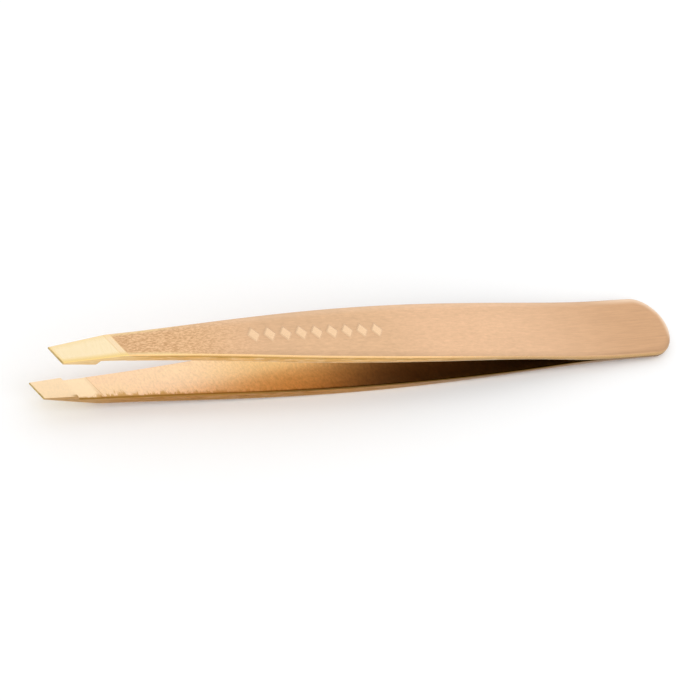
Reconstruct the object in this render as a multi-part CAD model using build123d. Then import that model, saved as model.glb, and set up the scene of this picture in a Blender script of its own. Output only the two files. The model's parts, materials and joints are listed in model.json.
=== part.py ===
from build123d import *

import os
from math import atan, cos, degrees, radians, sin, tan

# Slant-tip tweezers: two tapered spring-steel arms, spot-welded to each other at the butt. Millimetres.
#
# The arms are drawn in a grip frame: x is minus the distance s from the butt end, so the tips point along
# -x; y runs across the width; z is the height above the plane where the arms meet. The finished pair is
# then laid on a table: +Z up, origin under the middle of its outline.
#
# Each arm is one strip of steel whose thin stretch bends. That stretch is drawn as a knuckle: a round nose
# on the arm in a round seat in the butt, on the axis that the strip turns about when it bends.

# Outline seen from above
LENGTH = 95.7  # butt end to the long corner of the tips
BUTT_WIDTH = 9.6
BUTT_ROUND = 4.5  # length of the half-oval butt end
TIP_WIDTH = 2.3
SLANT = 25.0  # degrees between the tip edge and a square end
FLANKS = ((24.7, 4.60), (42.7, 4.32), (62.7, 3.42), (80.7, 2.05))  # (s, half width)
FLANK_END_SLOPE = -0.06

# Side view of the upper arm, as (s, height); the lower arm mirrors it
BUTT_THICKNESS = 0.70
OUTER_FLAT = 9.0  # the outer face is flat up to here
WELD_FLAT = 13.0  # the arms touch up to here
OUTER = ((24.7, 1.68), (42.7, 3.22), (62.7, 4.33), (80.7, 4.75), (90.0, 4.68))
OUTER_END_SLOPE = -0.02
INNER = ((24.7, 0.97), (32.7, 1.62), (42.7, 2.13), (62.7, 2.94), (80.7, 3.54), (90.0, 3.68))
INNER_END_SLOPE = 0.01
EDGE_ROUND = 0.25  # on the outer long edges
RESTING_FLAT = 0.01  # depth worn off where an arm lies on the table, at its butt rim and its belly
BELLY = range(20, 80)  # s of the stretch that bows out furthest

# Tip: a flat pad inside with a shallow ground band behind it, and two ground facets outside
CLOSING_ANGLE = 2.6  # degrees each arm bends before the pads meet
PADS_APART = 0.02  # left between the pads at that angle
TIP_EDGE = 0.30  # thickness of the tip edge
PAD_START = 91.1  # s of the pad's rear edge at mid width
PAD_RUN = 0.5  # length of the slope behind the pad
PAD_STOCK = 0.3  # how far the pad's block reaches into the strip
BAND_START = 87.5
BAND_RUN = 0.4
BAND_DEPTH = 0.06
FACET_START = 88.4  # s of the main outer facet's rear edge at mid width
FACET_BREAK = 0.8  # length of the narrow facet behind it
FACET_BREAK_DROP = 0.06

# Knuckle for the bending stretch
PIVOT_S = 23.7
SEAT_CLEARANCE = 0.03

# Spot welds
WELD_PLACES = (5.5, 9.5)
WELD_RADIUS = 1.2
WELD_DEPTH = 0.22  # into each arm

# Reach of the blocks that cut and grind the strip
OVERSIZE = 12.0  # to each side, and above
BELOW = -1.0  # a height under the whole upper arm
RUN_IN = 3.0  # behind the start of a ground slope
END = LENGTH + 1.0  # the strip is drawn this far and then cut to the slant
PAST_END = END + 4.0

TIP_S = LENGTH - TIP_WIDTH / 2 * tan(radians(SLANT))  # the tip edge at mid width
ALONG_SLANT = Vector(-sin(radians(SLANT)), cos(radians(SLANT)), 0)


def side_curve(flat_end, points, last_slope):
    """A side-view line that leaves a flat stretch smoothly and runs through the given (s, height) points."""
    return Spline([flat_end] + [(-s, height) for s, height in points], tangents=[(-1, 0), (-1, last_slope)])


def height_on(curve, s):
    """Height of a side-view line at the distance s from the butt end."""
    low, high = 0.0, 1.0
    for _ in range(40):
        middle = (low + high) / 2
        if -(curve @ middle).X < s:
            low = middle
        else:
            high = middle
    return (curve @ low).Y


OUTER_LINE = side_curve((-OUTER_FLAT, BUTT_THICKNESS), OUTER, OUTER_END_SLOPE)
INNER_LINE = side_curve((-WELD_FLAT, 0), INNER, INNER_END_SLOPE)
PIVOT_HEIGHT = (height_on(OUTER_LINE, PIVOT_S) + height_on(INNER_LINE, PIVOT_S)) / 2
NOSE_RADIUS = (height_on(OUTER_LINE, PIVOT_S) - height_on(INNER_LINE, PIVOT_S)) / 2


def slope_through(first, second, s):
    """Height at s on the straight line through two (s, height) points."""
    return first[1] + (second[1] - first[1]) * (s - first[0]) / (second[0] - first[0])


def straight_block(*points):
    """A solid with the given (s, height) corners, run square across the width."""
    face = Plane.XZ * make_face(Polyline(*[(-s, height) for s, height in points], close=True).edges())
    return Pos(0, OVERSIZE, 0) * extrude(face, 2 * OVERSIZE)


def slanted_block(*points):
    """A solid with the given (s, height) corners at mid width, run along the slant of the tip edge."""
    face = Plane.XZ * make_face(Polyline(*[(-s, height) for s, height in points], close=True).edges())
    return Pos(-ALONG_SLANT * OVERSIZE) * extrude(face, 2 * OVERSIZE, dir=ALONG_SLANT)


def outline():
    """The outline seen from above, as a tall block with an oval butt."""
    half, tip_half = BUTT_WIDTH / 2, TIP_WIDTH / 2
    points = [(-BUTT_ROUND, half)] + [(-s, width) for s, width in FLANKS] + [(-LENGTH, tip_half)]
    flank = Spline(points, tangents=[(-1, 0), (-1, FLANK_END_SLOPE)])
    end = Polyline((-LENGTH, tip_half), (-PAST_END, tip_half), (-PAST_END, -tip_half), (-LENGTH, -tip_half))
    butt = EllipticalCenterArc((-BUTT_ROUND, 0), BUTT_ROUND, half, start_angle=-90, arc_size=180)
    lines = (butt, flank, end, mirror(flank, Plane.XZ))
    return extrude(make_face([edge for line in lines for edge in line.edges()]), OVERSIZE)


def on_outer_rim(edge):
    """True for the edges that run along the outer face, round the butt and down both flanks."""
    middle = edge @ 0.5
    if -middle.X < OUTER_FLAT:
        return abs(middle.Z - BUTT_THICKNESS) < 0.01 and edge.length > 1
    on_face = abs(middle.Z - height_on(OUTER_LINE, -middle.X)) < 0.01
    return on_face and abs(middle.Y) > 1 and edge.length > 20


def strip():
    """The strip of the upper arm as pressed, with its outer long edges rounded, before grinding."""
    outer_end, inner_end = OUTER_LINE @ 1, INNER_LINE @ 1
    rear = Polyline((-WELD_FLAT, 0), (0, 0), (0, BUTT_THICKNESS), (-OUTER_FLAT, BUTT_THICKNESS))
    top = Line((outer_end.X, outer_end.Y), (-END, outer_end.Y))
    front = Line((-END, outer_end.Y), (-END, inner_end.Y))
    bottom = Line((-END, inner_end.Y), (inner_end.X, inner_end.Y))
    lines = (rear, OUTER_LINE, top, front, bottom, INNER_LINE)
    side_view = Plane.XZ * make_face([edge for line in lines for edge in line.edges()])
    pressed = Pos(0, OVERSIZE, 0) * extrude(side_view, 2 * OVERSIZE) & outline()
    return fillet([edge for edge in pressed.edges() if on_outer_rim(edge)], EDGE_ROUND)


def pad_height(s):
    """Height of the open pad: the closed pad's plane turned open about the bending axis."""
    angle = radians(CLOSING_ANGLE)
    return PIVOT_HEIGHT + (PADS_APART / 2 - PIVOT_HEIGHT) / cos(angle) + (s - PIVOT_S) * tan(angle)


def outer_facets():
    """What grinding takes off the outer face: a narrow facet, then the main one down to the tip edge."""
    rear = (FACET_START - FACET_BREAK, height_on(OUTER_LINE, FACET_START - FACET_BREAK))
    start = (FACET_START, rear[1] - FACET_BREAK_DROP)
    tip = (TIP_S, pad_height(TIP_S) + TIP_EDGE)
    behind = rear[0] - RUN_IN
    first = (behind, slope_through(rear, start, behind))
    last = (PAST_END, slope_through(start, tip, PAST_END))
    return slanted_block(first, start, last, (PAST_END, OVERSIZE), (behind, OVERSIZE))


def inner_band():
    """What grinding takes off the inner face behind the pad."""
    start = (BAND_START, height_on(INNER_LINE, BAND_START))
    floor = (BAND_START + BAND_RUN, start[1] + BAND_DEPTH)
    behind = BAND_START - RUN_IN
    first = (behind, slope_through(start, floor, behind))
    return slanted_block(first, floor, (PAST_END, floor[1]), (PAST_END, BELOW), (behind, BELOW))


def pad():
    """The flat gripping pad. Its rear edge follows the slant, and its face is square to the closing motion."""
    top = height_on(INNER_LINE, BAND_START) + PAD_STOCK
    rear_top = (PAD_START - PAD_RUN, top)
    rear_foot = (PAD_START, pad_height(PAD_START))
    deeper = PAD_START + PAD_RUN
    deep_foot = (deeper, slope_through(rear_top, rear_foot, deeper))
    block = slanted_block(rear_top, deep_foot, (PAST_END, 0), (PAST_END, top))
    face_rear = (BAND_START, pad_height(BAND_START))
    face_front = (PAST_END, pad_height(PAST_END))
    return block - straight_block(face_rear, face_front, (PAST_END, BELOW), (BAND_START, BELOW))


def table_line():
    """(tilt in degrees, height at s = 0) of the table against the upper arm, from butt rim to belly."""
    tilt = 0.0
    for _ in range(8):
        rim_s = EDGE_ROUND * (1 - sin(tilt))
        rim_height = BUTT_THICKNESS - EDGE_ROUND * (1 - cos(tilt))
        tilt = atan(max((height_on(OUTER_LINE, s) - rim_height) / (s - rim_s) for s in BELLY))
    return degrees(tilt), rim_height - rim_s * tan(tilt)


def worn_off():
    """What lying on the table has worn off the outer face."""
    tilt, height = table_line()
    rise = tan(radians(tilt))
    rear = (-OVERSIZE, height - RESTING_FLAT - OVERSIZE * rise)
    front = (PAST_END, height - RESTING_FLAT + PAST_END * rise)
    return straight_block(rear, front, (PAST_END, OVERSIZE), (-OVERSIZE, OVERSIZE))


def upper_blank():
    """The upper arm in one piece, ground to its slanted tip, before it is parted at the bending stretch."""
    padded = (strip() - inner_band() + pad()) & outline()
    past_tip = slanted_block((TIP_S, BELOW), (PAST_END, BELOW), (PAST_END, OVERSIZE), (TIP_S, OVERSIZE))
    return padded - outer_facets() - past_tip - worn_off()


def bar_on_axis(radius):
    """A round bar on the bending axis, across the whole width."""
    return Pos(-PIVOT_S, 0, PIVOT_HEIGHT) * Rot(90, 0, 0) * Cylinder(radius, 2 * BUTT_WIDTH)


def spot_weld(s):
    """The nugget of one spot weld, half in each arm."""
    return Pos(-s, 0, 0) * Cylinder(WELD_RADIUS, 2 * WELD_DEPTH)


def moving_and_welded():
    """The upper arm parted at the bending axis: the moving arm, and the welded butt half."""
    blank = upper_blank()
    ahead = straight_block((PIVOT_S, BELOW), (PAST_END, BELOW), (PAST_END, OVERSIZE), (PIVOT_S, OVERSIZE))
    arm = (blank & ahead) + (bar_on_axis(NOSE_RADIUS) & outline())
    butt = blank - ahead - bar_on_axis(NOSE_RADIUS + SEAT_CLEARANCE)
    for s in WELD_PLACES:
        butt -= spot_weld(s)
    return arm, butt


def main():
    arm, butt = moving_and_welded()
    nodes = {"upper_arm": arm, "upper_butt": butt}
    nodes["lower_arm"] = mirror(arm, Plane.XY)
    nodes["lower_butt"] = mirror(butt, Plane.XY)
    for number, s in enumerate(WELD_PLACES, start=1):
        nodes[f"spot_weld_{number}"] = spot_weld(s)

    tilt = Rot(0, table_line()[0], 0)
    laid = {name: tilt * shape for name, shape in nodes.items()}
    box = Compound([solid for shape in laid.values() for solid in shape.solids()]).bounding_box()
    down = Pos(-box.center().X, -box.center().Y, -box.min.Z)

    os.makedirs("parts", exist_ok=True)
    for name, shape in laid.items():
        export_step(down * shape, f"parts/{name}.step")

    print(f"tilt {table_line()[0]:.10f}, butt end at {(down * tilt * Pos(0, 0, 0)).position}")
    for side, height in (("upper", PIVOT_HEIGHT), ("lower", -PIVOT_HEIGHT)):
        print(f"{side} bending axis at {(down * tilt * Pos(-PIVOT_S, 0, height)).position}")


main()
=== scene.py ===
import json
from math import cos, pi, radians, sin, tan

import bmesh
import bpy
import numpy as np
from mathutils import Matrix, Vector


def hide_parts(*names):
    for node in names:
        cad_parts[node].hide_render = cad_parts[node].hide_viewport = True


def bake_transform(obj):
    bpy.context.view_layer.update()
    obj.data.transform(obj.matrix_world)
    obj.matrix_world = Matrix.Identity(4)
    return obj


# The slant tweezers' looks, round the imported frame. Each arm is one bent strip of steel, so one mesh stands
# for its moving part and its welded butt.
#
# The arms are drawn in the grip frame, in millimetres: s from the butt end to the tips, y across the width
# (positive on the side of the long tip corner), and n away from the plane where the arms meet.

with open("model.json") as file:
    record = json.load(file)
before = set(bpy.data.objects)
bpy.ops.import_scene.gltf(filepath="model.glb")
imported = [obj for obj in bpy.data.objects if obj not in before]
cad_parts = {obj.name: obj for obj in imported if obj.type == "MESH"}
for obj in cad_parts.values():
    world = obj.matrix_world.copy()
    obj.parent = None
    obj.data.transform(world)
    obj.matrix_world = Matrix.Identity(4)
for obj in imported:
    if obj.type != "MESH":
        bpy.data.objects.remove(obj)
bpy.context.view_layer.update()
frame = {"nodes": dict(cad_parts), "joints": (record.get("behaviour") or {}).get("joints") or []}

MM = 0.001

# Outline
LENGTH = 95.7
BUTT_HALF = 4.8
BUTT_ROUND = 4.5
TIP_HALF = 1.15
SLANT = tan(radians(25.0))
PIVOT_S = 23.7

# Side view
BUTT_THICKNESS = 0.70
OUTER_FLAT = 9.0
WELD_FLAT = 13.0

# Tip grinding, with s taken at mid width
TIP_S = LENGTH - TIP_HALF * SLANT
TIP_EDGE = 0.30
PAD_START = 91.1
PAD_RUN = 0.5
PAD_STOCK = 0.3
PADS_APART = 0.02
CLOSING_ANGLE = radians(2.6)
BAND_START = 87.5
BAND_RUN = 0.4
BAND_DEPTH = 0.06
FACET_START = 88.4
FACET_BREAK = 0.8
FACET_BREAK_DROP = 0.06


# ---------------------------------------------------------------- curves


def clamped_spline(points, first_slope, last_slope):
    """A smooth curve through (s, value) points with given end slopes, held level before its first point."""
    xs = np.array([point[0] for point in points], float)
    ys = np.array([point[1] for point in points], float)
    gaps = np.diff(xs)
    rises = np.diff(ys) / gaps
    count = len(xs)
    matrix = np.zeros((count, count))
    right = np.zeros(count)
    matrix[0, 0], matrix[0, 1], right[0] = 2 * gaps[0], gaps[0], 6 * (rises[0] - first_slope)
    matrix[-1, -1], matrix[-1, -2], right[-1] = 2 * gaps[-1], gaps[-1], 6 * (last_slope - rises[-1])
    for i in range(1, count - 1):
        matrix[i, i - 1 : i + 2] = gaps[i - 1], 2 * (gaps[i - 1] + gaps[i]), gaps[i]
        right[i] = 6 * (rises[i] - rises[i - 1])
    bends = np.linalg.solve(matrix, right)

    def curve(s):
        s = np.asarray(s, float)
        inside = np.clip(s, xs[0], xs[-1])
        i = np.clip(np.searchsorted(xs, inside, side="right") - 1, 0, count - 2)
        t = inside - xs[i]
        slope = rises[i] - gaps[i] * (2 * bends[i] + bends[i + 1]) / 6
        value = ys[i] + t * (slope + t * (bends[i] / 2 + t * (bends[i + 1] - bends[i]) / (6 * gaps[i])))
        return value + last_slope * np.maximum(s - xs[-1], 0)

    return curve


def smooth_step(low, high, value):
    t = np.clip((np.asarray(value, float) - low) / (high - low), 0, 1)
    return t * t * (3 - 2 * t)


half_width = clamped_spline(
    [(BUTT_ROUND, BUTT_HALF), (24.7, 4.60), (42.7, 4.32), (62.7, 3.42), (80.7, 2.05), (LENGTH, TIP_HALF)],
    first_slope=0,
    last_slope=-0.06,
)
outer_line = clamped_spline(
    [(OUTER_FLAT, BUTT_THICKNESS), (24.7, 1.68), (42.7, 3.22), (62.7, 4.33), (80.7, 4.75), (90.0, 4.68)],
    first_slope=0,
    last_slope=-0.02,
)
inner_line = clamped_spline(
    [(WELD_FLAT, 0), (24.7, 0.97), (32.7, 1.62), (42.7, 2.13), (62.7, 2.94), (80.7, 3.54), (90.0, 3.68)],
    first_slope=0,
    last_slope=0.01,
)
pivot_height = float(outer_line(PIVOT_S) + inner_line(PIVOT_S)) / 2


def through(first, second, s):
    """Height at s on the straight line through two (s, height) points."""
    return first[1] + (second[1] - first[1]) * (s - first[0]) / (second[0] - first[0])


def pad_height(s):
    """The gripping pad's plane, open: the closed plane turned about the bending axis."""
    at_pivot = pivot_height + (PADS_APART / 2 - pivot_height) / cos(CLOSING_ANGLE)
    return at_pivot + (s - PIVOT_S) * tan(CLOSING_ANGLE)


def facet_height(station):
    """The two facets ground on the outer face, which run along the slant."""
    rear = (FACET_START - FACET_BREAK, float(outer_line(FACET_START - FACET_BREAK)))
    start = (FACET_START, rear[1] - FACET_BREAK_DROP)
    tip = (TIP_S, pad_height(TIP_S) + TIP_EDGE)
    return np.minimum(through(rear, start, station), through(start, tip, station))


def outer_height(station, s):
    """The outer face with the facets ground at the tip."""
    ground = np.minimum(outer_line(s), facet_height(station))
    return np.where(station > FACET_START - 4 * FACET_BREAK, ground, outer_line(s))


def inner_height(station, s):
    """The inner face with the shallow band and the pad ground at the tip."""
    start = (BAND_START, float(inner_line(BAND_START)))
    floor = (BAND_START + BAND_RUN, start[1] + BAND_DEPTH)
    band = np.minimum(through(start, floor, station), floor[1])
    behind_pad = np.where(station > BAND_START - BAND_RUN, np.maximum(inner_line(s), band), inner_line(s))
    rear_top = (PAD_START - PAD_RUN, start[1] + PAD_STOCK)
    rear_foot = (PAD_START, float(pad_height(PAD_START)))
    pad = np.maximum(through(rear_top, rear_foot, station), pad_height(s))
    return np.where(station > PAD_START - 2 * PAD_RUN, np.minimum(behind_pad, pad), behind_pad)


# ---------------------------------------------------------------- grip frame to row frame

pivots = {joint["name"]: Vector(joint["pos_m"]) for joint in frame["joints"]}
UP = (pivots["upper_arm_flex"] - pivots["lower_arm_flex"]).normalized()
TO_TIP = Vector((-UP.z, 0, UP.x))
BUTT_END = (pivots["upper_arm_flex"] + pivots["lower_arm_flex"]) / 2 - TO_TIP * PIVOT_S * MM


# ---------------------------------------------------------------- the arm's mesh

RIM_STEPS = 7  # rows across a rounded edge
WALL_STEPS = 6  # rows down a side wall
WALL_BULGE = 0.035
OUTER_EDGE = ([0, 12, 30, 60, 84, 88, TIP_S], [0.42, 0.36, 0.25, 0.24, 0.20, 0.07, 0.05])
INNER_EDGE = ([0, 12, 20, 60, 86, TIP_S], [0.03, 0.04, 0.08, 0.14, 0.10, 0.03])
OUTER_EDGE_POWER = 1.55  # between a chamfer (1) and a round (2)
INNER_EDGE_POWER = 2.0
CROWN_REACH = 1.0  # the outer face rolls off softly over this distance, before its rounded edge
CROWN_DROP = 0.06

MARK_FIRST_S = 51.0
MARK_LAST_S = 69.4
MARK_COUNT = 9
MARK_HALF_LENGTH = 0.98
MARK_HALF_WIDTH = 1.20
MARK_HEIGHT = 0.10
MARK_SLOPE = 0.22
MARK_Y = 0.12
MARKS_START, MARKS_END = 49.0, 71.4  # the stretch of fine mesh under the row


def stations():
    """Places along the arm: close together at the butt rim, the raised pattern and the ground tip."""
    rim = 0.5 * (1 - np.cos(np.linspace(0, np.pi / 2, 12)))
    pieces = [
        rim,
        np.arange(0.7, 5.0, 0.25),
        np.arange(5.0, MARKS_START, 0.6),
        np.arange(MARKS_START, MARKS_END, 0.1),
        np.arange(MARKS_END, 86.4, 0.4),
        np.arange(86.4, TIP_S - 0.1, 0.16),
    ]
    for edge in (FACET_START - FACET_BREAK, FACET_START, BAND_START, BAND_START + BAND_RUN):
        pieces.append(np.array([edge - 0.03, edge, edge + 0.03]))
    pad_rear = np.linspace(PAD_START - PAD_RUN, PAD_START, 9)
    pieces += [pad_rear, np.array([PAD_START - 0.04, PAD_START + 0.04, TIP_S - 0.06, TIP_S - 0.02, TIP_S])]
    every = np.unique(np.concatenate(pieces).round(5))
    return every[np.concatenate([[True], np.diff(every) > 0.004])]


def across_lines():
    """Interior places across the width, from -1 to 1, close together under the raised pattern."""
    outer = np.concatenate([np.linspace(0.46, 0.82, 5), [0.865, 0.90, 0.93, 0.955, 0.98, 1.0]])
    return np.concatenate([-outer[::-1], np.linspace(-0.44, 0.44, 31), outer])


def rim_distance(s, y):
    """Distance in from the outline: the oval at the butt, and the flanks."""
    a, b = (BUTT_ROUND - s) / BUTT_ROUND, np.abs(y) / BUTT_HALF
    reach = np.maximum(np.hypot(a, b), 1e-6)
    steep = np.hypot(a / BUTT_ROUND, b / BUTT_HALF) / reach
    in_from_oval = (1 - reach) / np.maximum(steep, 1e-6)
    return np.maximum(np.where(s < BUTT_ROUND, in_from_oval, half_width(s) - np.abs(y)), 0)


def edge_drop(distance, radius, power):
    """How far a rounded edge lies below its face, at a distance in from the outline."""
    x = np.clip(1 - distance / radius, 0, 1)
    return radius * (1 - (1 - x**power) ** (1 / power))


def crown_drop(station, distance):
    """How far the outer face has rolled off, up to where the tip is ground."""
    share = np.clip(1 - distance / CROWN_REACH, 0, 1)
    return CROWN_DROP * share**2 * (1 - smooth_step(60, 86, station))


def raised_marks(s, y):
    """Height of the row of plain raised lozenges stamped in the grip."""
    centres = np.linspace(MARK_FIRST_S, MARK_LAST_S, MARK_COUNT)
    nearest = centres[np.argmin(np.abs(s[..., None] - centres), axis=-1)]
    inside = 1 - np.abs(s - nearest) / MARK_HALF_LENGTH - np.abs(y - MARK_Y) / MARK_HALF_WIDTH
    return MARK_HEIGHT * smooth_step(0, MARK_SLOPE, inside)


def loop_points(station, radii, power):
    """(s, y) of the lines across one station on one face, from the near flank to the far one."""
    shear = SLANT * float(smooth_step(72, 85, station))
    bulge = 1 - float(smooth_step(0, 11, station))
    angles = np.linspace(np.pi / 2, 0, RIM_STEPS + 1)
    insets = radii * (1 - np.sin(angles) ** (2 / power))

    def s_at(y):
        oval = BUTT_ROUND * (1 - np.sqrt(np.maximum(1 - (y / BUTT_HALF) ** 2, 0)))
        return station + oval * bulge + y * shear

    near = far = float(half_width(station))
    for _ in range(6):
        near = float(half_width(s_at(-near)))
        far = float(half_width(s_at(far)))
    lines = across_lines()
    middle = np.where(lines < 0, lines * (near - radii), lines * (far - radii))
    y = np.concatenate([insets[:-1] - near, middle, (far - insets[:-1])[::-1]])
    return s_at(y), y


def arm_arrays(marks):
    """Grip-frame points, faces and face kinds of one arm, with the outer face up."""
    places = stations()
    wide = len(across_lines()) + 2 * RIM_STEPS
    loop = 2 * wide + 2 * (WALL_STEPS - 1)
    points, relief, inset, station_values, depth = [], [], [], [], []
    no_wall = np.zeros(WALL_STEPS - 1)
    for station in places:
        radius = float(np.interp(station, *OUTER_EDGE))
        s, y = loop_points(station, radius, OUTER_EDGE_POWER)
        distance = rim_distance(s, y)
        raised = raised_marks(s, y) if marks else np.zeros_like(s)
        drop = edge_drop(distance, radius, OUTER_EDGE_POWER) + crown_drop(station, distance)
        top = np.stack([s, y, outer_height(station, s) - drop + raised], 1)

        inner_radius = float(np.interp(station, *INNER_EDGE))
        s, y = loop_points(station, inner_radius, INNER_EDGE_POWER)
        inner_distance = rim_distance(s, y)
        rise = edge_drop(inner_distance, inner_radius, INNER_EDGE_POWER)
        bottom = np.stack([s, y, inner_height(station, s) + rise], 1)

        down = np.linspace(0, 1, WALL_STEPS + 1)[1:-1, None]
        swell = WALL_BULGE * np.sin(np.pi * down) * np.array([[0, 1, 0]])
        far_wall = top[-1] * (1 - down) + bottom[-1] * down + swell
        near_wall = bottom[0] * (1 - down) + top[0] * down - swell
        points.append(np.concatenate([top, far_wall, bottom[::-1], near_wall]))
        station_values.append(np.full(loop, station))
        depth.append(np.concatenate([np.zeros(wide), down[:, 0], np.ones(wide), 1 - down[:, 0]]))
        relief.append(np.concatenate([raised / MARK_HEIGHT, np.zeros(loop - wide)]))
        inset.append(np.concatenate([distance, no_wall, inner_distance[::-1], no_wall]))
    points = np.concatenate(points)

    walls = ["wall"] * WALL_STEPS
    kinds = ["outer"] * (wide - 1) + walls + ["inner"] * (wide - 1) + walls
    faces, face_kinds = [], []
    for k, station in enumerate((places[:-1] + places[1:]) / 2):
        ground = station > FACET_START - FACET_BREAK
        for j in range(loop):
            first, second = k * loop + j, k * loop + (j + 1) % loop
            faces.append((first, second, second + loop, first + loop))
            face_kinds.append("facet" if ground and kinds[j] == "outer" else kinds[j])

    extra, extra_depth, cap_faces = end_caps(points, len(places), loop, wide)
    faces += cap_faces
    face_kinds += ["wall"] * (len(cap_faces) // 2) + ["tip_edge"] * (len(cap_faces) // 2)
    none = np.zeros(len(extra))
    values = {
        "relief": np.concatenate(relief + [none]),
        "inset": np.concatenate(inset + [none]),
        "station": np.concatenate(station_values + [none]),
        "depth": np.concatenate(depth + [extra_depth]),
    }
    return np.concatenate([points, extra]), faces, face_kinds, values


def end_caps(points, count, loop, wide):
    """The walls across the butt rim and across the tip edge."""
    extra, depth, faces = [], [], []
    for first in (0, (count - 1) * loop):
        rows = [[first + j for j in range(wide)]]
        for w in range(1, WALL_STEPS):
            share = w / WALL_STEPS
            near, far = first + loop - w, first + wide - 1 + w
            row = [near]
            for j in range(1, wide - 1):
                top, bottom = points[first + j], points[first + 2 * wide + WALL_STEPS - 2 - j]
                row.append(len(points) + len(extra))
                extra.append(top * (1 - share) + bottom * share)
                depth.append(share)
            rows.append(row + [far])
        rows.append([first + 2 * wide + WALL_STEPS - 2 - j for j in range(wide)])
        for upper, lower in zip(rows, rows[1:]):
            faces += [(upper[j], upper[j + 1], lower[j + 1], lower[j]) for j in range(wide - 1)]
    return np.array(extra), np.array(depth), faces


def build_arm(name, side, materials, marks):
    """One arm: side is 1 for the upper arm and -1 for the lower one."""
    points, faces, kinds, values = arm_arrays(marks)
    axes = np.array([TO_TIP, Vector((0, 1, 0)), UP * side]) * MM
    mesh = bpy.data.meshes.new(name)
    mesh.from_pydata((points @ axes + np.array(BUTT_END)).tolist(), [], faces)
    order = sorted(materials)
    for kind in order:
        mesh.materials.append(materials[kind])
    mesh.polygons.foreach_set("material_index", [order.index(kind) for kind in kinds])

    strip = mesh.attributes.new("strip", "FLOAT_VECTOR", "POINT")
    strip.data.foreach_set("vector", points.astype(np.float32).ravel())
    for label, value in values.items():
        attribute = mesh.attributes.new(label, "FLOAT", "POINT")
        attribute.data.foreach_set("value", value.astype(np.float32))
    add_grain_map(mesh, points)

    solid = bmesh.new()
    solid.from_mesh(mesh)
    bmesh.ops.recalc_face_normals(solid, faces=solid.faces)
    solid.to_mesh(mesh)
    solid.free()
    mesh.shade_smooth()
    mesh.set_sharp_from_angle(angle=radians(28))

    arm = bpy.data.objects.new(name, mesh)
    bpy.context.scene.collection.objects.link(arm)
    return arm


def add_grain_map(mesh, points):
    """A map whose first axis runs along the arm, for the brushed grain's direction."""
    layer = mesh.uv_layers.new(name="grain")
    corners = np.empty(len(mesh.loops), dtype=np.int32)
    mesh.loops.foreach_get("vertex_index", corners)
    flat = np.stack([points[:, 0], points[:, 1] + 0.37 * points[:, 2]], 1) / 100
    layer.data.foreach_set("uv", flat[corners].astype(np.float32).ravel())


# ---------------------------------------------------------------- materials


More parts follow.
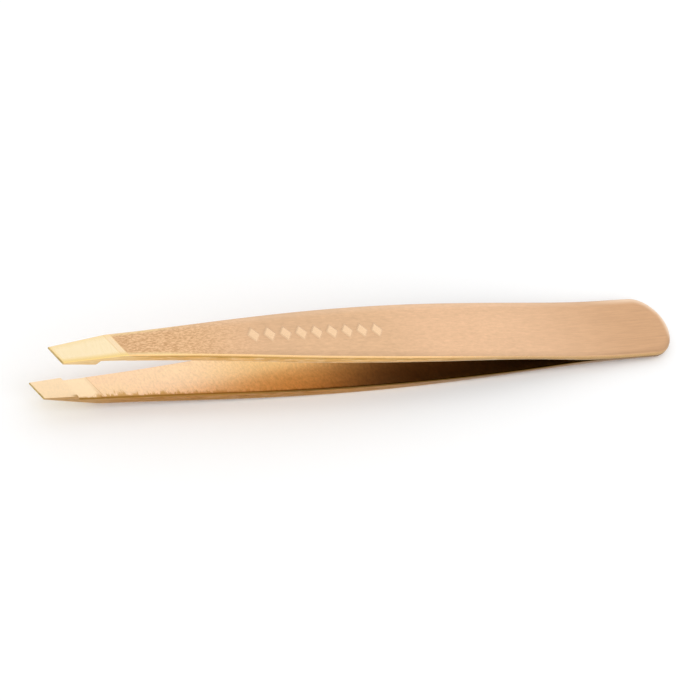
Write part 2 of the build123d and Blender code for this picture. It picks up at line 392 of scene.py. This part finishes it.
class Nodes:
    """Short calls for the nodes that the metal uses."""

    def __init__(self, name):
        self.material = bpy.data.materials.new(name)
        self.material.use_nodes = True
        self.tree = self.material.node_tree
        self.tree.nodes.clear()
        self.strip = self.add("ShaderNodeAttribute", attribute_name="strip").outputs["Vector"]

    def add(self, kind, inputs=None, **settings):
        node = self.tree.nodes.new(kind)
        for key, value in settings.items():
            setattr(node, key, value)
        for key, value in (inputs or {}).items():
            self.feed(node.inputs[key], value)
        return node

    def feed(self, socket, value):
        """Links a socket to another one, or sets it to a plain value."""
        if isinstance(value, bpy.types.NodeSocket):
            self.tree.links.new(value, socket)
        else:
            socket.default_value = value

    def math(self, operation, *values, clamp=False):
        node = self.add("ShaderNodeMath", operation=operation, use_clamp=clamp)
        for socket, value in zip(node.inputs, values):
            self.feed(socket, value)
        return node.outputs[0]

    def noise(self, scale, detail=4.0, roughness=0.6, seed=0.0):
        """Noise over the strip, with a scale per millimetre for each of its three axes."""
        shift = (seed, 2 * seed, -seed)
        place = self.add("ShaderNodeVectorMath", {0: self.strip, 1: scale}, operation="MULTIPLY").outputs[0]
        moved = self.add("ShaderNodeVectorMath", {0: place, 1: shift}, operation="ADD").outputs[0]
        inputs = {"Vector": moved, "Detail": detail, "Roughness": roughness, "Scale": 1.0}
        return self.add("ShaderNodeTexNoise", inputs).outputs["Fac"]

    def ramp(self, value, low, high, start=0.0, end=1.0):
        """A smooth step of a value from start to end between low and high."""
        inputs = {"Value": value, "From Min": low, "From Max": high, "To Min": start, "To Max": end}
        return self.add("ShaderNodeMapRange", inputs, interpolation_type="SMOOTHSTEP").outputs["Result"]

    def mix(self, share, first, second):
        """One colour changed towards another; a colour mix has its sockets at 0, 6 and 7."""
        node = self.add("ShaderNodeMix", data_type="RGBA")
        for number, value in ((0, share), (6, first), (7, second)):
            self.feed(node.inputs[number], value)
        return node.outputs[2]

    def along(self):
        return self.add("ShaderNodeSeparateXYZ", {0: self.strip}).outputs[0]

    def across(self):
        return self.add("ShaderNodeSeparateXYZ", {0: self.strip}).outputs[1]

    def line(self, value, place, half_width, strength):
        """A soft line where a value is near the given place."""
        away = self.math("ABSOLUTE", self.math("SUBTRACT", value, place))
        return self.ramp(away, 0.0, half_width, strength, 0.0)

    def scale(self, color, amount):
        """A colour made lighter or darker by a factor."""
        return self.add("ShaderNodeVectorMath", {0: color, "Scale": amount}, operation="SCALE").outputs[0]

    def tint(self, color, tone):
        """A colour multiplied by another."""
        return self.add("ShaderNodeVectorMath", {0: color, 1: tone}, operation="MULTIPLY").outputs[0]

    def uneven(self, texture, strength):
        """A factor round 1 that follows a noise texture."""
        return self.math("MULTIPLY_ADD", self.math("SUBTRACT", texture, 0.5), strength, 1.0)

    def attribute(self, name):
        return self.add("ShaderNodeAttribute", attribute_name=name).outputs["Fac"]

    def finish(self, color, roughness, height, depth, anisotropy):
        """The metal shader with a bump of the given depth in millimetres."""
        bump = self.add("ShaderNodeBump", {"Height": height, "Distance": depth * MM, "Strength": 1.0})
        tangent = self.add("ShaderNodeTangent", direction_type="UV_MAP", uv_map="grain")
        inputs = {
            "Base Color": color,
            "Metallic": 1.0,
            "Roughness": roughness,
            "Anisotropic": anisotropy,
            "Normal": bump.outputs[0],
            "Tangent": tangent.outputs[0],
        }
        shader = self.add("ShaderNodeBsdfPrincipled", inputs)
        self.add("ShaderNodeOutputMaterial", {"Surface": shader.outputs[0]})
        return self.material


ROSE = (0.715, 0.455, 0.275, 1)
ROSE_BUTT_SHADE = (0.575, 0.340, 0.187, 1)
ROSE_GRIP = (0.665, 0.425, 0.250, 1)
NECK_DARK = (0.56, 0.32, 0.155, 1)
NECK_LIGHT = (0.82, 0.53, 0.30, 1)
RAISED = (0.80, 0.56, 0.35, 1)
FAR_RIM_HIGHLIGHT = (0.86, 0.66, 0.49, 1)
POLISHED_RIM_HIGHLIGHT = (0.88, 0.56, 0.25, 1)
BUTT_RIM_SHADE = (0.56, 0.35, 0.155, 1)
STREAK = (0.92, 0.66, 0.38, 1)
PEACH = (0.92, 0.635, 0.40, 1)
HONEY = (0.80, 0.46, 0.15, 1)
HONEY_DARK = (0.50, 0.26, 0.065, 1)
PALE_GOLD = (0.98, 0.81, 0.53, 1)
GOLD = (0.88, 0.68, 0.36, 1)
YELLOW = (0.90, 0.65, 0.26, 1)
BAND_SHADE_BROWN = (0.52, 0.28, 0.06, 1)
OCHRE = (0.42, 0.24, 0.045, 1)
EDGE_LINE_SHADE = (0.28, 0.14, 0.02, 1)
AMBER = (0.82, 0.52, 0.22, 1)
SHADED = (0.34, 0.18, 0.05, 1)
CUT_EDGE = (0.40, 0.27, 0.08, 1)
DULL_FLOOR_REFLECTION = (0.66, 0.52, 0.38, 1)
WELD_DARK = (0.30, 0.28, 0.27, 1)
WELD_LIGHT = (0.58, 0.55, 0.52, 1)

# Pairs of places along the arm, in millimetres from the butt end, between which the finish changes
BRUSHING_FINER = (18.0, 34.0)
NECK = (65.0, 81.0)
BAND_WIDER = (66.0, 80.0)


def outer_metal():
    """The outer face: satin, brushed along its length, coarser and browner behind the ground tip."""
    n = Nodes("rose_gold_brushed")
    along, inset = n.along(), n.attribute("inset")
    # Painted shade: the rose of the outer face is darker towards the butt end.
    color = n.mix(n.ramp(along, 3.0, 32.0), ROSE_BUTT_SHADE, ROSE)
    grip = n.math("MULTIPLY", n.ramp(along, 42.0, 52.0), n.ramp(along, 73.0, 66.0))
    color = n.mix(grip, color, ROSE_GRIP)

    fine = n.noise((0.22, 4.0, 4.0), detail=5.0, roughness=0.65)
    hair = n.noise((0.35, 26.0, 26.0), detail=3.0, roughness=0.7, seed=7.0)
    cloud = n.noise((0.07, 0.30, 0.30), detail=2.0, roughness=0.5, seed=3.0)
    streak = n.noise((1.0, 3.5, 3.5), detail=4.0, roughness=0.7, seed=17.0)
    dash = n.noise((2.1, 7.0, 7.0), detail=5.0, roughness=0.7, seed=11.0)
    color = n.scale(color, n.uneven(fine, n.ramp(along, *BRUSHING_FINER, 0.34, 0.18)))
    color = n.scale(color, n.uneven(cloud, 0.10))
    color = n.scale(color, n.uneven(streak, n.ramp(along, *BRUSHING_FINER, 0.10, 0.40)))
    neck = n.mix(n.ramp(dash, 0.39, 0.61), NECK_DARK, NECK_LIGHT)
    color = n.mix(n.ramp(along, *NECK), color, neck)

    # Painted shade: the near side of the outer face darkens towards its edge, up to the neck.
    near_side = n.ramp(n.across(), 0.5, -0.5)
    before_neck = n.ramp(along, 80.0, 72.0)
    near_side_shade = n.math("MULTIPLY", n.ramp(inset, 1.1, 0.3, 0.0, 0.10), near_side)
    color = n.scale(color, n.math("SUBTRACT", 1.0, n.math("MULTIPLY", near_side_shade, before_neck)))
    # Painted highlight: a pale band along the far rim and across the butt end, strongest near the butt.
    far_or_end = n.math("MAXIMUM", n.ramp(n.across(), 0.5, 2.5), n.ramp(along, 1.5, 0.5))
    far_rim_highlight = n.math("MULTIPLY", n.ramp(inset, 1.30, 0.25, 0.0, 0.85), far_or_end)
    color = n.mix(n.math("MULTIPLY", far_rim_highlight, n.ramp(along, 14.0, 4.0, 0.25, 1.0)), color, FAR_RIM_HIGHLIGHT)
    neck_edge = n.math("MULTIPLY", n.ramp(inset, 0.60, 0.10), n.ramp(along, 76.0, 84.0, 0.0, 0.7))
    color = n.mix(neck_edge, color, GOLD)

    relief = n.attribute("relief")
    color = n.mix(n.math("MULTIPLY", relief, 0.7), color, RAISED)
    # The rounded rim is polished, so smoother. Its colour is painted light: painted shade on the near rim at
    # the butt, and a painted highlight on the near rim further along and on the far rim.
    rim = n.ramp(inset, 0.22, 0.04)
    near_rim_light = n.mix(n.ramp(along, 26.0, 48.0), BUTT_RIM_SHADE, POLISHED_RIM_HIGHLIGHT)
    rim_light_color = n.mix(n.ramp(n.across(), -0.5, 0.5), near_rim_light, FAR_RIM_HIGHLIGHT)
    color = n.mix(n.math("MULTIPLY", rim, 0.85), color, rim_light_color)
    polished = n.math("MAXIMUM", rim, relief)
    rough = n.math("ADD", n.ramp(hair, 0.25, 0.75, 0.30, 0.44), n.math("MULTIPLY", polished, -0.12))
    height = n.math("ADD", n.math("MULTIPLY", fine, 0.6), n.math("MULTIPLY", hair, 0.4))
    return n.finish(color, rough, height, 0.010, 0.6)


def facet_metal():
    """The ground facets at the tip: finely polished, so paler and yellower."""
    n = Nodes("tip_polished")
    fine = n.noise((4.0, 0.6, 4.0), detail=3.0, roughness=0.6, seed=5.0)
    color = n.mix(n.ramp(fine, 0.35, 0.65, 0.0, 0.15), PALE_GOLD, GOLD)
    station = n.attribute("station")
    color = n.mix(n.ramp(station, FACET_START + 0.02, FACET_START - 0.05, 0.0, 0.35), color, PEACH)
    # Painted light along the facet breaks: a darker line of painted shade at the main break and a yellow
    # painted highlight at the rear one.
    color = n.mix(n.line(station, FACET_START, 0.12, 0.3), color, HONEY)
    color = n.mix(n.line(station, FACET_START - FACET_BREAK, 0.14, 0.5), color, YELLOW)
    # Painted highlight: a yellow band along the facet's edges, strongest on the near side.
    near_side = n.ramp(n.across(), 0.5, -0.5, 0.35, 1.0)
    border_highlight = n.math("MULTIPLY", n.ramp(n.attribute("inset"), 0.75, 0.05, 0.0, 0.95), near_side)
    color = n.mix(border_highlight, color, YELLOW)
    color = n.mix(n.ramp(station, TIP_S - 0.45, TIP_S, 0.0, 0.6), color, YELLOW)
    return n.finish(color, n.ramp(fine, 0.3, 0.7, 0.16, 0.24), fine, 0.002, 0.3)


def wall_metal(name, tone, floor_reflection_share):
    """The cut edges of the strip, smoothed by rubbing and deeper gold than the faces. Painted shade and a
    painted grey reflection of the floor darken them towards the butt, and painted shade lies in a ragged dark
    band next to the outer face.
    """
    n = Nodes(name)
    along, depth = n.along(), n.attribute("depth")
    line = n.noise((0.12, 3.0, 5.0), detail=4.0, roughness=0.65, seed=2.0)
    streak = n.noise((0.5, 5.0, 5.0), detail=3.0, roughness=0.65, seed=9.0)
    color = n.mix(n.ramp(line, 0.26, 0.62), HONEY_DARK, HONEY)
    color = n.mix(n.ramp(streak, 0.46, 0.68, 0.0, 0.55), color, STREAK)
    color = n.mix(n.ramp(along, 82.0, 89.0, 0.0, 0.5), color, GOLD)
    # Painted reflection of the grey floor: the edges turn greyer towards the butt.
    color = n.mix(n.ramp(along, 56.0, 32.0, 0.0, floor_reflection_share), color, DULL_FLOOR_REFLECTION)
    # Painted shade: the edges darken towards the butt, and the lower arm's edges are tinted darker.
    color = n.scale(n.tint(color, tone), n.ramp(along, 48.0, 26.0, 1.0, 0.70))
    # Painted shade: a ragged dark band along each edge next to the outer face, faded out at the tip.
    wander = n.math("MULTIPLY_ADD", n.math("SUBTRACT", line, 0.5), 0.45, depth)
    shade_band = n.line(wander, 0.18, 0.22, 0.65)
    shade_band = n.math("MULTIPLY", shade_band, n.ramp(along, 24.0, 50.0, 0.3, 1.0))
    color = n.mix(n.math("MULTIPLY", shade_band, n.ramp(along, 89.0, 82.0)), color, OCHRE)
    height = n.math("ADD", n.math("MULTIPLY", line, 0.6), n.math("MULTIPLY", streak, 0.4))
    return n.finish(color, n.ramp(line, 0.3, 0.7, 0.24, 0.36), height, 0.02, 0.4)


def tip_edge_metal():
    """The thin cut edge across each tip."""
    n = Nodes("tip_cut")
    grain = n.noise((3.0, 3.0, 9.0), detail=3.0, roughness=0.6, seed=6.0)
    color = n.mix(n.ramp(grain, 0.35, 0.65, 0.0, 0.5), CUT_EDGE, GOLD)
    return n.finish(color, n.ramp(grain, 0.3, 0.7, 0.3, 0.45), grain, 0.004, 0.0)


def inner_metal(name, edge_line_light, edge_shade_share):
    """The inner face: lightly blasted, with painted shade darkening it towards the butt between the arms, and
    painted light along its near edge: a pale painted highlight on the upper arm, and painted shade in a
    ragged band and a dark line on the lower one.
    """
    n = Nodes(name)
    along, inset, station = n.along(), n.attribute("inset"), n.attribute("station")
    cloud = n.noise((0.12, 0.4, 0.4), detail=3.0, roughness=0.5, seed=8.0)
    mottle = n.noise((3.0, 2.2, 2.2), detail=4.0, roughness=0.7, seed=4.0)
    color = n.mix(n.ramp(cloud, 0.4, 0.7, 0.0, 0.2), PEACH, GOLD)
    # Painted shade between the arms: amber, then dark brown, towards the butt.
    color = n.mix(n.ramp(along, 78.0, 62.0), color, AMBER)
    color = n.mix(n.ramp(along, 59.0, 42.0), color, SHADED)
    color = n.scale(color, n.uneven(mottle, n.ramp(along, 72.0, 88.0, 0.80, 0.50)))
    color = n.mix(n.ramp(station, BAND_START - 0.03, BAND_START + 0.05, 0.0, 0.45), color, PALE_GOLD)

    # Painted shade on the lower arm: a ragged brown band inside the near edge.
    ragged = n.noise((1.3, 0.5, 0.5), detail=5.0, roughness=0.75, seed=13.0)
    near_edge = n.math("MULTIPLY", n.ramp(n.across(), -0.2, -0.6), n.ramp(along, 91.5, 90.0))
    widest = n.math("MINIMUM", n.ramp(along, *BAND_WIDER, 0.80, 1.50), n.ramp(along, 90.5, 85.0, 0.45, 1.50))
    reach = n.ramp(ragged, 0.38, 0.64, 0.30, widest)
    full = n.math("MULTIPLY", reach, n.ramp(along, *BAND_WIDER, 0.0, 0.3))
    edge_band_shade = n.math("MULTIPLY", n.ramp(inset, reach, full, 0.0, edge_shade_share), near_edge)
    color = n.mix(edge_band_shade, color, BAND_SHADE_BROWN)
    # Painted light along the near edge: a pale highlight line on the upper arm, and a dark shade line on the
    # lower one that is darker towards the butt.
    edge = n.scale(edge_line_light[:3], n.ramp(along, 74.0, 56.0, 1.0, 1.0 - 0.9 * edge_shade_share))
    color = n.mix(n.math("MULTIPLY", n.ramp(inset, 0.34, 0.12, 0.0, 0.85), near_edge), color, edge)

    # Painted shade: darker lines at the step into the ground band and across the pad's rear slope.
    color = n.mix(n.line(station, BAND_START, 0.09, 0.4), color, HONEY_DARK)
    color = n.mix(n.line(station, PAD_START - PAD_RUN / 2, PAD_RUN / 2, 0.25), color, HONEY_DARK)
    height = n.math("ADD", n.math("MULTIPLY", mottle, 0.5), n.math("MULTIPLY", ragged, 0.5))
    return n.finish(color, n.ramp(mottle, 0.3, 0.7, 0.28, 0.36), height, 0.002, 0.2)


def weld_metal():
    """The weld nuggets, which only show if the arms are taken apart."""
    n = Nodes("weld_nugget")
    grain = n.noise((5.0, 5.0, 5.0), detail=5.0, roughness=0.7)
    color = n.mix(n.ramp(grain, 0.3, 0.7), WELD_DARK, WELD_LIGHT)
    return n.finish(color, n.ramp(grain, 0.3, 0.7, 0.35, 0.6), grain, 0.02, 0.0)


# ---------------------------------------------------------------- the object

shared = {"outer": outer_metal(), "facet": facet_metal(), "tip_edge": tip_edge_metal()}
metals = {
    "upper": {
        **shared,
        "wall": wall_metal("upper_edge_rubbed_shaded", tone=(1.0, 1.0, 1.0), floor_reflection_share=0.2),
        "inner": inner_metal("upper_inside", PALE_GOLD, edge_shade_share=0.0),
    },
    "lower": {
        **shared,
        # Painted shade and painted floor reflection, stronger on the lower arm's edges.
        "wall": wall_metal("lower_edge_rubbed_shaded", tone=(0.66, 0.57, 0.51), floor_reflection_share=0.9),
        "inner": inner_metal("lower_inside", EDGE_LINE_SHADE, edge_shade_share=0.8),
    },
}

for label, side in (("upper", 1), ("lower", -1)):
    arm = build_arm(f"{label}_arm_strip", side, metals[label], marks=side > 0)
    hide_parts(f"{label}_arm", f"{label}_butt")
    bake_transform(arm)

weld = weld_metal()
for number in (1, 2):
    node = frame["nodes"][f"spot_weld_{number}"]
    node.data.materials.clear()
    node.data.materials.append(weld)

# ---------------------------------------------------------------- floor, camera and light

FRONT_LIGHT = 1.12
BACK_LIGHT = 1.0
FLOOR_COLOR = (0.95, 0.95, 0.95, 1)
FLOOR_RADIUS = 3.0


def matte(name, color):
    material = bpy.data.materials.new(name)
    material.use_nodes = True
    shader = material.node_tree.nodes["Principled BSDF"]
    shader.inputs["Base Color"].default_value = color
    shader.inputs["Roughness"].default_value = 0.9
    shader.inputs["Specular IOR Level"].default_value = 0.2
    return material


def add_floor():
    """A round pale floor under the part."""
    circle = bmesh.new()
    bmesh.ops.create_circle(circle, cap_ends=True, segments=64, radius=FLOOR_RADIUS)
    mesh = bpy.data.meshes.new("floor")
    circle.to_mesh(mesh)
    circle.free()
    mesh.materials.append(matte("floor_white", FLOOR_COLOR))
    floor = bpy.data.objects.new("floor", mesh)
    bpy.context.scene.collection.objects.link(floor)


def add_camera(azimuth, elevation, roll, distance, aim, lens):
    """A camera that looks at aim; azimuth 0 looks along +Y, and roll turns the camera about its view."""
    a, e = radians(azimuth), radians(elevation)
    back = Vector((sin(a) * cos(e), -cos(a) * cos(e), sin(e)))
    level = Vector((cos(a), sin(a), 0))
    upright = back.cross(level)
    right = level * cos(radians(roll)) + upright * sin(radians(roll))
    axes = Matrix((right, back.cross(right), back)).transposed()
    data = bpy.data.cameras.new("camera")
    data.lens = lens
    data.sensor_width = 36.0
    data.clip_start = 0.01
    camera = bpy.data.objects.new("camera", data)
    camera.matrix_world = Matrix.Translation(aim + back * distance) @ axes.to_4x4()
    bpy.context.scene.collection.objects.link(camera)
    bpy.context.scene.camera = camera


def add_softbox(name, azimuth, elevation, distance, size, brightness):
    """A square soft light that faces the part from the given side, as bright as brightness times white."""
    a, e = radians(azimuth), radians(elevation)
    back = Vector((sin(a) * cos(e), -cos(a) * cos(e), sin(e)))
    data = bpy.data.lights.new(name, "AREA")
    data.size = size
    data.energy = brightness * pi * size**2
    light = bpy.data.objects.new(name, data)
    facing = back.to_track_quat("Z", "Y").to_matrix().to_4x4()
    light.matrix_world = Matrix.Translation(back * distance) @ facing
    bpy.context.scene.collection.objects.link(light)


def add_world():
    """A pale studio, brighter behind the part than in front of it."""
    world = bpy.data.worlds.new("studio")
    world.use_nodes = True
    nodes, links = world.node_tree.nodes, world.node_tree.links
    place = nodes.new("ShaderNodeTexCoord")
    parts = nodes.new("ShaderNodeSeparateXYZ")
    brightness = nodes.new("ShaderNodeMapRange")
    brightness.interpolation_type = "SMOOTHSTEP"
    levels = {"From Min": 0.0, "From Max": 0.5, "To Min": FRONT_LIGHT, "To Max": BACK_LIGHT}
    for key, value in levels.items():
        brightness.inputs[key].default_value = value
    links.new(place.outputs["Generated"], parts.inputs[0])
    links.new(parts.outputs[1], brightness.inputs["Value"])
    links.new(brightness.outputs["Result"], nodes["Background"].inputs["Strength"])
    nodes["Background"].inputs["Color"].default_value = (1, 1, 1, 1)
    bpy.context.scene.world = world


add_floor()
add_world()
add_camera(
    azimuth=-47.81,
    elevation=45.62,
    roll=31.56,
    distance=0.2619,
    aim=Vector((-0.00436, 0.00077, 0.00270)),
    lens=106.76,
)
add_softbox("side_softbox", azimuth=120, elevation=33, distance=0.6, size=0.35, brightness=0.3)
add_softbox("front_softbox", azimuth=37, elevation=27, distance=0.6, size=0.3, brightness=0.4)

bpy.context.scene.view_settings.view_transform = "Standard"
